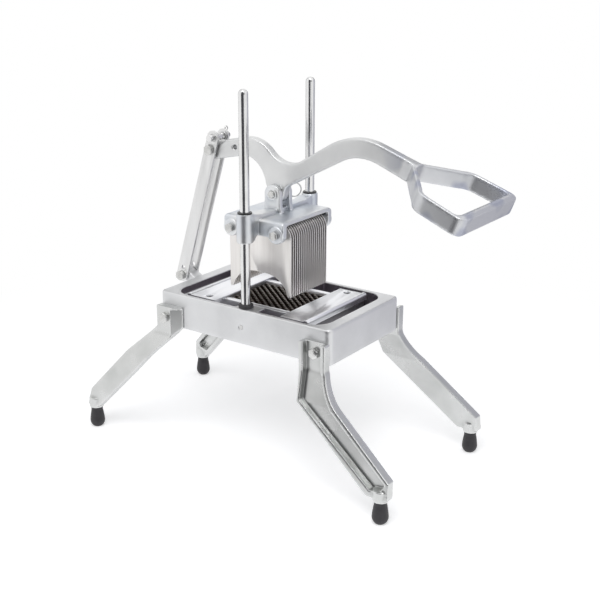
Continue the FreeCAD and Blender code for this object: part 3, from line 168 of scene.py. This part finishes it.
def mapped(tree, value, fromLow, fromHigh, toLow, toHigh):
    remap = tree.nodes.new("ShaderNodeMapRange")
    remap.inputs["From Min"].default_value = fromLow
    remap.inputs["From Max"].default_value = fromHigh
    remap.inputs["To Min"].default_value = toLow
    remap.inputs["To Max"].default_value = toHigh
    tree.links.new(value, remap.inputs["Value"])
    return remap.outputs["Result"]


def blended(tree, amount, first, second):
    mix = tree.nodes.new("ShaderNodeMix")
    mix.data_type = "RGBA"
    for socket, colour in (("A", first), ("B", second)):
        target = [item for item in mix.inputs if item.name == socket and item.type == "RGBA"][0]
        if isinstance(colour, tuple):
            target.default_value = (*colour, 1)
        else:
            tree.links.new(colour, target)
    tree.links.new(amount, mix.inputs["Factor"])
    return [item for item in mix.outputs if item.type == "RGBA"][0]


def calculated(tree, kind, first, second):
    node = tree.nodes.new("ShaderNodeMath")
    node.operation = kind
    node.use_clamp = True
    for index, value in enumerate((first, second)):
        if isinstance(value, (int, float)):
            node.inputs[index].default_value = value
        else:
            tree.links.new(value, node.inputs[index])
    return node.outputs["Value"]


def attribute(tree, name):
    node = tree.nodes.new("ShaderNodeAttribute")
    node.attribute_name = name
    return node.outputs["Fac"]


def axisValue(tree, axis):
    coordinates = tree.nodes.new("ShaderNodeTexCoord")
    split = tree.nodes.new("ShaderNodeSeparateXYZ")
    tree.links.new(coordinates.outputs["Object"], split.inputs["Vector"])
    return split.outputs[axis]


def bumped(tree, shader, heights):
    normal = None
    for height, distance, strength in heights:
        bump = tree.nodes.new("ShaderNodeBump")
        bump.inputs["Distance"].default_value = distance
        bump.inputs["Strength"].default_value = strength
        tree.links.new(height, bump.inputs["Height"])
        if normal is not None:
            tree.links.new(normal, bump.inputs["Normal"])
        normal = bump.outputs["Normal"]
    tree.links.new(normal, shader.inputs["Normal"])


def finish(tree, shader, colour, rough, metallic=1.0):
    tree.links.new(colour, shader.inputs["Base Color"])
    tree.links.new(rough, shader.inputs["Roughness"])
    shader.inputs["Metallic"].default_value = metallic


def mouthShadeMask(tree):
    # 1 on the walls inside the mouth of the base, where shade is painted, 0 outside
    inside = None
    for axis, (limit, sharp) in mouthShadeTone["limits"].items():
        place = axisValue(tree, axis)
        if axis != "Z":
            size = tree.nodes.new("ShaderNodeMath")
            size.operation = "ABSOLUTE"
            tree.links.new(place, size.inputs[0])
            place = size.outputs["Value"]
        step = mapped(tree, place, limit - 1 / sharp, limit, 1, 0)
        inside = step if inside is None else calculated(tree, "MULTIPLY", inside, step)
    return inside


def gripPatches(tree):
    # blotches where hands have dulled the handle's end
    reach = mapped(tree, axisValue(tree, "Y"), *gripTone["reach"], 0, 1)
    blots = noise(tree, objectCoordinates(tree), gripTone["patchScale"], 1.5, 0.5)
    return calculated(tree, "MULTIPLY", reach, mapped(tree, blots, 0.50, 0.60, 0.22, 0.95))


def castAluminium(name, light, dark, roughLow, roughHigh, wearAndShade=False, mouth=False, handled=False):
    # fine cast grain under soft clouds of polish
    material, tree, shader = newMaterial(name)
    vector = objectCoordinates(tree)
    clouds = noise(tree, vector, 22, 4)
    grain = noise(tree, vector, 1400, 2, 0.7)
    colour = blended(tree, mapped(tree, clouds, 0.3, 0.7, 0, 1), dark, light)
    rough = mapped(tree, clouds, 0.25, 0.75, roughHigh, roughLow)
    if wearAndShade:
        edge = attribute(tree, "edgeWear")
        hollowShadeAndGrime = attribute(tree, "hollowShadeAndGrime")
        edge = calculated(tree, "MULTIPLY", edge, wearAndShadeTone["edgeShare"])
        colour = blended(tree, edge, colour, wearAndShadeTone["edgeColour"])
        # painted shade and grime: hollows darken towards the casting's dark tone
        hollowShadeAndGrime = calculated(tree, "MULTIPLY", hollowShadeAndGrime, wearAndShadeTone["hollowShadeShare"])
        colour = blended(tree, hollowShadeAndGrime, colour, tuple(wearAndShadeTone["hollowShadeDark"] * part for part in dark))
        polish = calculated(tree, "MULTIPLY", edge, wearAndShadeTone["edgePolish"])
        rough = calculated(tree, "SUBTRACT", rough, polish)
    if handled:
        blots = gripPatches(tree)
        colour = blended(tree, blots, colour, gripTone["colour"])
        rough = calculated(tree, "ADD", rough, calculated(tree, "MULTIPLY", blots, gripTone["rougher"]))
    if mouth:
        # painted shade: the inner walls of the mouth take a dark colour, with a rougher as-cast finish
        inside = mouthShadeMask(tree)
        colour = blended(tree, inside, colour, mouthShadeTone["colour"])
        rough = calculated(tree, "ADD", rough, calculated(tree, "MULTIPLY", inside, mouthShadeTone["rougher"]))
    finish(tree, shader, colour, rough)
    bumped(tree, shader, [(grain, 0.00005, 0.12), (noise(tree, vector, 130, 3), 0.0004, 0.05)])
    return material


def brushedMetal(name, light, dark, roughLow, roughHigh, stretch, grainScale, depth):
    # grain drawn out along one direction, given by the smallest stretch
    material, tree, shader = newMaterial(name)
    along = objectCoordinates(tree, scale=stretch)
    clouds = noise(tree, objectCoordinates(tree), 30, 3)
    grain = noise(tree, along, grainScale, 3, 0.6)
    streaks = noise(tree, along, grainScale * 0.12, 3, 0.6)
    colour = blended(tree, mapped(tree, streaks, 0.35, 0.65, 0, 1), dark, light)
    rough = calculated(tree, "ADD", mapped(tree, grain, 0.3, 0.7, roughLow, roughHigh),
                       mapped(tree, clouds, 0.3, 0.7, 0, 0.05))
    finish(tree, shader, colour, rough)
    bumped(tree, shader, [(grain, 0.00005, depth)])
    return material


def chrome(name):
    material, tree, shader = newMaterial(name)
    vector = objectCoordinates(tree, scale=(1, 1, 0.02))
    wipe = noise(tree, vector, 500, 2)
    smudge = noise(tree, objectCoordinates(tree), 45, 3)
    colour = blended(tree, mapped(tree, smudge, 0.35, 0.65, 0, 1), (0.76, 0.76, 0.76), (0.84, 0.84, 0.84))
    rough = calculated(tree, "ADD", mapped(tree, wipe, 0.3, 0.7, 0.12, 0.17),
                       mapped(tree, smudge, 0.4, 0.75, 0, 0.06))
    finish(tree, shader, colour, rough)
    bumped(tree, shader, [(wipe, 0.00001, 0.05)])
    return material


def bladeSteel(name):
    # ground strips: sides painted dark as shade and the mirrored mouth, and a painted highlight along the
    # scallops' edge
    material, tree, shader = newMaterial(name)
    height = axisValue(tree, "Z")
    # painted highlight: a bright band along the top edge of the scallops
    edge = mapped(tree, height, *bladeShadeAndGlint["edge"], 0, 1)
    grain = noise(tree, objectCoordinates(tree, scale=(1, 1, 6)), 700, 3, 0.6)
    # painted shade: the sides of the blades are coloured dark
    shadedFlank = blended(tree, grain, *bladeShadeAndGlint["shadedFlank"])
    colour = blended(tree, edge, shadedFlank, bladeShadeAndGlint["edgeHighlight"])
    rough = mapped(tree, grain, 0.3, 0.7, 0.22, 0.36)
    finish(tree, shader, colour, rough)
    bumped(tree, shader, [(grain, 0.00005, 0.25)])
    return material


def recessedScrew(name):
    # plated head whose socket is filled with shadow and grease
    material, tree, shader = newMaterial(name)
    socket = mapped(tree, axisValue(tree, "Z"), *screwTone["socket"], 0, 1)
    smears = noise(tree, objectCoordinates(tree), 300, 3)
    head = blended(tree, mapped(tree, smears, 0.4, 0.6, 0, 1), *screwTone["head"])
    colour = blended(tree, socket, screwTone["shadow"], head)
    finish(tree, shader, colour, mapped(tree, smears, 0.3, 0.7, 0.30, 0.42))
    return material


def blackRubber(name, light, dark, roughLow, roughHigh):
    material, tree, shader = newMaterial(name)
    vector = objectCoordinates(tree)
    speckle = noise(tree, vector, 700, 3, 0.7)
    dust = noise(tree, vector, 60, 4)
    colour = blended(tree, mapped(tree, dust, 0.35, 0.75, 0, 1), dark, light)
    finish(tree, shader, colour, mapped(tree, dust, 0.3, 0.7, roughLow, roughHigh), 0.0)
    shader.inputs["Specular IOR Level"].default_value = 0.45
    bumped(tree, shader, [(speckle, 0.0001, 0.35)])
    return material


finishes = {
    # tones are light and dark, then the lowest and highest roughness
    "cast_aluminium": castAluminium(
        "satinCasting", (0.75, 0.755, 0.765), (0.67, 0.675, 0.69), 0.40, 0.50),
    "polished_aluminium": castAluminium(
        "polishedLeg", (0.69, 0.695, 0.69), (0.57, 0.58, 0.57), 0.24, 0.34, wearAndShade=True),
    "fin_aluminium": brushedMetal(
        "finPlate", (0.88, 0.86, 0.84), (0.80, 0.775, 0.755), 0.30, 0.42, (1, 1, 0.05), 700, 0.10),
    "bar_aluminium": brushedMetal(
        "barPlate", (0.95, 0.955, 0.98), (0.88, 0.89, 0.92), 0.26, 0.36, (0.05, 1, 1), 700, 0.10),
    "chrome_rod": chrome("chromeRod"),
    "link_steel": brushedMetal(
        "linkBar", (0.80, 0.80, 0.80), (0.74, 0.74, 0.74), 0.28, 0.38, (1, 1, 0.05), 500, 0.06),
    "fastener_steel": brushedMetal(
        "platedSteel", (0.72, 0.72, 0.71), (0.56, 0.56, 0.55), 0.16, 0.28, (1, 1, 1), 500, 0.25),
    "blade_steel": bladeSteel("groundBlade"),
    "black_rubber": blackRubber(
        "softRubber", (0.052, 0.049, 0.054), (0.026, 0.025, 0.028), 0.42, 0.58),
    "black_nylon": blackRubber(
        "nylonBushing", (0.035, 0.035, 0.036), (0.016, 0.016, 0.017), 0.32, 0.42),
    # the rest belong to pieces of the scene and aren't slots of the record
    "frame_casting": castAluminium(
        "frameCasting", (0.745, 0.75, 0.76), (0.68, 0.685, 0.695), 0.40, 0.50, wearAndShade=True, mouth=True),
    # painted shade: the dark sheet under the outer lips of the blade bars
    "bar_apron_shade": brushedMetal(
        "shadedBarApron", (0.34, 0.33, 0.35), (0.26, 0.25, 0.27), 0.42, 0.54, (0.05, 1, 1), 700, 0.10),
    "recessed_screw": recessedScrew("recessedScrew"),
    "worn_shaded_casting": castAluminium(
        "wornShadedCasting", (0.84, 0.84, 0.83), (0.64, 0.68, 0.74), 0.34, 0.46, wearAndShade=True),
    "lever_casting": castAluminium(
        "leverCasting", (0.74, 0.745, 0.745), (0.67, 0.675, 0.68), 0.34, 0.44, wearAndShade=True, handled=True),
}
print("materials", len(finishes))

slotOf = {part["node"]: part["material_slot"] for part in frame["record"]["subparts"]}
bodyOf = {node: body for body, members in frame["record"]["behaviour"]["bodies"].items() for node in members}


def dress(piece, material):
    piece.data.materials.clear()
    piece.data.materials.append(material)


for node, piece in frame["nodes"].items():
    for place in piece.material_slots:
        place.material = finishes[slotOf[node]]
print("nodes dressed", len(frame["nodes"]))


# pieces made from the castings of the frame

def only(piece):
    bpy.ops.object.select_all(action="DESELECT")
    piece.select_set(True)
    bpy.context.view_layer.objects.active = piece


def copyOfNode(node, name):
    piece = bpy.data.objects.new(name, frame["nodes"][node].data.copy())
    bpy.context.scene.collection.objects.link(piece)
    only(piece)
    bpy.ops.object.mode_set(mode="EDIT")
    bpy.ops.mesh.select_all(action="SELECT")
    bpy.ops.mesh.remove_doubles(threshold=0.000002)
    bpy.ops.object.mode_set(mode="OBJECT")
    return piece


def applied(piece, kind, **settings):
    modifier = piece.modifiers.new(kind.title(), kind)
    for key, value in settings.items():
        setattr(modifier, key, value)
    only(piece)
    bpy.ops.object.modifier_apply(modifier=modifier.name)


def markWearAndShade(piece, reach, passes):
    # edges rubbed bright, and hollows darkened with painted shade and grime, from how far a point stands out
    # of its neighbours
    mesh = bmesh.new()
    mesh.from_mesh(piece.data)
    mesh.normal_update()
    raised = []
    for point in mesh.verts:
        around = [edge.other_vert(point).co for edge in point.link_edges]
        middle = sum(around, Vector()) / max(len(around), 1)
        raised.append((point.co - middle).dot(point.normal) / reach)
    for times in range(passes):
        raised = [
            (raised[point.index] + sum(raised[edge.other_vert(point).index] for edge in point.link_edges))
            / (1 + len(point.link_edges)) for point in mesh.verts
        ]
    mesh.free()
    # edgeWear brightens rubbed edges; the hollow layer carries painted shade and grime
    for name, sign in (("edgeWear", 1), ("hollowShadeAndGrime", -1)):
        layer = piece.data.attributes.new(name, "FLOAT", "POINT")
        layer.data.foreach_set("value", [min(1.0, max(0.0, sign * value)) for value in raised])


def softCasting(node, name):
    voxel, passes, kept = castings[node]
    piece = copyOfNode(node, name)
    applied(piece, "REMESH", mode="VOXEL", voxel_size=voxel, adaptivity=0)
    applied(piece, "SMOOTH", factor=softening["factor"], iterations=passes)
    markWearAndShade(piece, voxel * softening["wearAndShadeReach"], softening["wearAndShadePasses"])
    applied(piece, "DECIMATE", decimate_type="COLLAPSE", ratio=kept)
    applied(piece, "SMOOTH", factor=softening["lastFactor"], iterations=softening["lastPasses"])
    only(piece)
    bpy.ops.object.shade_smooth()
    print(name, len(piece.data.polygons), "faces")
    return piece


def bevelled(node, name, width, steps):
    piece = copyOfNode(node, name)
    bpy.ops.object.mode_set(mode="EDIT")
    bpy.ops.mesh.select_all(action="SELECT")
    bpy.ops.mesh.dissolve_limited(angle_limit=math.radians(easing["flat"]))
    bpy.ops.mesh.select_mode(type="EDGE")
    bpy.ops.mesh.select_all(action="DESELECT")
    bpy.ops.mesh.edges_select_sharp(sharpness=math.radians(easing["sharp"]))
    bpy.ops.mesh.bevel(offset=width, segments=steps, profile=0.5, clamp_overlap=False)
    bpy.ops.object.mode_set(mode="OBJECT")
    bpy.ops.object.shade_smooth_by_angle(angle=math.radians(easing["shaded"]))
    print(name, len(piece.data.polygons), "faces")
    return piece


def standFor(piece, node, material=None):
    dress(piece, material or finishes[slotOf[node]])
    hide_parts(node)
    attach(piece, bodyOf[node])


def mirroredCopy(piece, name, flip):
    twin = piece.copy()
    twin.data = piece.data.copy()
    twin.name = name
    bpy.context.scene.collection.objects.link(twin)
    twin.scale = flip
    only(twin)
    bpy.ops.object.transform_apply(location=False, rotation=False, scale=True)
    bpy.ops.object.mode_set(mode="EDIT")
    bpy.ops.mesh.select_all(action="SELECT")
    bpy.ops.mesh.normals_make_consistent(inside=False)
    bpy.ops.object.mode_set(mode="OBJECT")
    return twin


for end in ("front", "back"):
    rightLeg = softCasting("leg_%s_right" % end, "legCasting_%s_right" % end)
    leftLeg = mirroredCopy(rightLeg, "legCasting_%s_left" % end, (-1, 1, 1))
    standFor(rightLeg, "leg_%s_right" % end)
    standFor(leftLeg, "leg_%s_left" % end)
standFor(softCasting("base_frame", "frameCasting"), "base_frame", finishes["frame_casting"])
standFor(softCasting("lever", "leverCasting"), "lever", finishes["lever_casting"])
standFor(softCasting("pusher_head", "headCasting"), "pusher_head", finishes["worn_shaded_casting"])
for node, (width, steps) in edges.items():
    standFor(bevelled(node, node + "_eased", width, steps), node,
             finishes["recessed_screw"] if node == "block_screws" else None)


def shadedBarApron(name, side):
    # folded-down edge under the outer lip of a blade bar, coloured dark as painted shade
    bpy.ops.object.select_all(action="DESELECT")
    low, high = apron["low"], apron["high"]
    bpy.ops.mesh.primitive_cube_add(
        size=1, location=(0, side * apron["reach"], (low + high) / 2),
        scale=(apron["long"], apron["thick"], high - low))
    piece = bpy.context.object
    piece.name = name
    bpy.ops.object.transform_apply(location=True, rotation=False, scale=True)
    bpy.ops.object.mode_set(mode="EDIT")
    bpy.ops.mesh.select_all(action="SELECT")
    bpy.ops.mesh.bevel(offset=apron["thick"] * apron["ease"], segments=2, profile=0.5)
    bpy.ops.object.mode_set(mode="OBJECT")
    bpy.ops.object.shade_smooth_by_angle(angle=math.radians(easing["shaded"]))
    dress(piece, finishes["bar_apron_shade"])
    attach(piece, "base")


shadedBarApron("bar_apron_front", -1)
shadedBarApron("bar_apron_back", 1)
print("castings softened")


# stage, lamps and camera

def seenRays(tree):
    # 1 for the rays that show the background: camera, mirrored and let through
    path = tree.nodes.new("ShaderNodeLightPath")
    glossy = calculated(tree, "ADD", path.outputs["Is Camera Ray"], path.outputs["Is Glossy Ray"])
    return calculated(tree, "ADD", glossy, path.outputs["Is Transmission Ray"])


def stageFloor():
    bpy.ops.object.select_all(action="DESELECT")
    bpy.ops.mesh.primitive_plane_add(size=studio["floorSize"], location=(0, 0, 0))
    floor = bpy.context.object
    floor.name = "studioFloor"
    material = bpy.data.materials.new("studioFloor")
    material.use_nodes = True
    tree = material.node_tree
    tree.nodes.clear()
    output = tree.nodes.new("ShaderNodeOutputMaterial")
    paper = tree.nodes.new("ShaderNodeBsdfDiffuse")
    paper.inputs["Color"].default_value = studio["floorColour"]
    white = tree.nodes.new("ShaderNodeEmission")
    lift = tree.nodes.new("ShaderNodeEmission")
    lift.inputs["Color"].default_value = (1, 1, 1, 1)
    lift.inputs["Strength"].default_value = studio["floorLift"]
    both = tree.nodes.new("ShaderNodeAddShader")
    tree.links.new(paper.outputs["BSDF"], both.inputs[0])
    tree.links.new(lift.outputs["Emission"], both.inputs[1])
    coordinates = tree.nodes.new("ShaderNodeTexCoord")
    distance = tree.nodes.new("ShaderNodeVectorMath")
    distance.operation = "LENGTH"
    tree.links.new(coordinates.outputs["Object"], distance.inputs[0])
    away = mapped(tree, distance.outputs["Value"], *studio["floorFade"], 0, 1)
    far = tree.nodes.new("ShaderNodeMixShader")
    tree.links.new(away, far.inputs["Fac"])
    tree.links.new(both.outputs["Shader"], far.inputs[1])
    tree.links.new(white.outputs["Emission"], far.inputs[2])
    seen = tree.nodes.new("ShaderNodeMixShader")
    tree.links.new(seenRays(tree), seen.inputs["Fac"])
    tree.links.new(paper.outputs["BSDF"], seen.inputs[1])
    tree.links.new(far.outputs["Shader"], seen.inputs[2])
    tree.links.new(seen.outputs["Shader"], output.inputs["Surface"])
    dress(floor, material)


def studioWorld():
    world = bpy.data.worlds.new("studio")
    bpy.context.scene.world = world
    world.use_nodes = True
    tree = world.node_tree
    tree.nodes.clear()
    output = tree.nodes.new("ShaderNodeOutputWorld")
    plain = tree.nodes.new("ShaderNodeBackground")
    plain.inputs["Color"].default_value = studio["airColour"]
    plain.inputs["Strength"].default_value = studio["ambient"]
    room = tree.nodes.new("ShaderNodeBackground")
    coordinates = tree.nodes.new("ShaderNodeTexCoord")
    facing = tree.nodes.new("ShaderNodeVectorMath")
    facing.operation = "DOT_PRODUCT"
    facing.inputs[1].default_value = studio["darkSide"]
    tree.links.new(coordinates.outputs["Generated"], facing.inputs[0])
    dark = mapped(tree, facing.outputs["Value"], *studio["darkCone"], 0, 1)
    path = tree.nodes.new("ShaderNodeLightPath")
    shade = calculated(tree, "MULTIPLY", dark, path.outputs["Is Glossy Ray"])
    tone = blended(tree, shade, (1.0, 1.0, 1.0), (studio["darkLevel"],) * 3)
    tree.links.new(tone, room.inputs["Color"])
    both = tree.nodes.new("ShaderNodeMixShader")
    tree.links.new(seenRays(tree), both.inputs["Fac"])
    tree.links.new(plain.outputs["Background"], both.inputs[1])
    tree.links.new(room.outputs["Background"], both.inputs[2])
    tree.links.new(both.outputs["Shader"], output.inputs["Surface"])


def softLamp(name, place, aim, width, power):
    lamp = bpy.data.lights.new(name, "AREA")
    lamp.shape = "DISK"
    lamp.size = width
    lamp.energy = power
    holder = bpy.data.objects.new(name, lamp)
    bpy.context.scene.collection.objects.link(holder)
    holder.location = place
    holder.rotation_mode = "QUATERNION"
    holder.rotation_quaternion = (Vector(aim) - Vector(place)).to_track_quat("-Z", "Y")


def photoCamera():
    holder = bpy.data.objects.new("camera", bpy.data.cameras.new("camera"))
    bpy.context.scene.collection.objects.link(holder)
    holder.data.lens = camera["lens"]
    holder.data.sensor_width = camera["sensor"]
    holder.location = camera["place"]
    look = (Vector(camera["target"]) - Vector(camera["place"])).to_track_quat("-Z", "Y").to_euler()
    holder.rotation_euler = look
    holder.rotation_euler.rotate_axis("Z", math.radians(camera["roll"]))
    bpy.context.scene.camera = holder


def darkCards():
    for name, (direction, distance, wide, tall, tone) in flags.items():
        bpy.ops.object.select_all(action="DESELECT")
        turn = math.radians(direction)
        place = (distance * math.cos(turn), distance * math.sin(turn), tall / 2)
        bpy.ops.mesh.primitive_plane_add(
            size=1, location=place, rotation=(math.pi / 2, 0, turn + math.pi / 2))
        card = bpy.context.object
        card.name = name
        card.scale = (wide, tall, 1)
        card.visible_camera = card.visible_diffuse = card.visible_shadow = card.visible_transmission = False
        material = bpy.data.materials.new(name)
        material.use_nodes = True
        tree = material.node_tree
        tree.nodes.clear()
        output = tree.nodes.new("ShaderNodeOutputMaterial")
        tint = tree.nodes.new("ShaderNodeEmission")
        tint.inputs["Color"].default_value = (tone, tone, tone * 1.1, 1)  # a little blue
        tree.links.new(tint.outputs["Emission"], output.inputs["Surface"])
        dress(card, material)


stageFloor()
darkCards()
studioWorld()
for name, (place, aim, width, power) in lamps.items():
    softLamp(name, place, aim, width, power)
photoCamera()
bpy.context.scene.view_settings.view_transform = "Standard"
print("stage set")
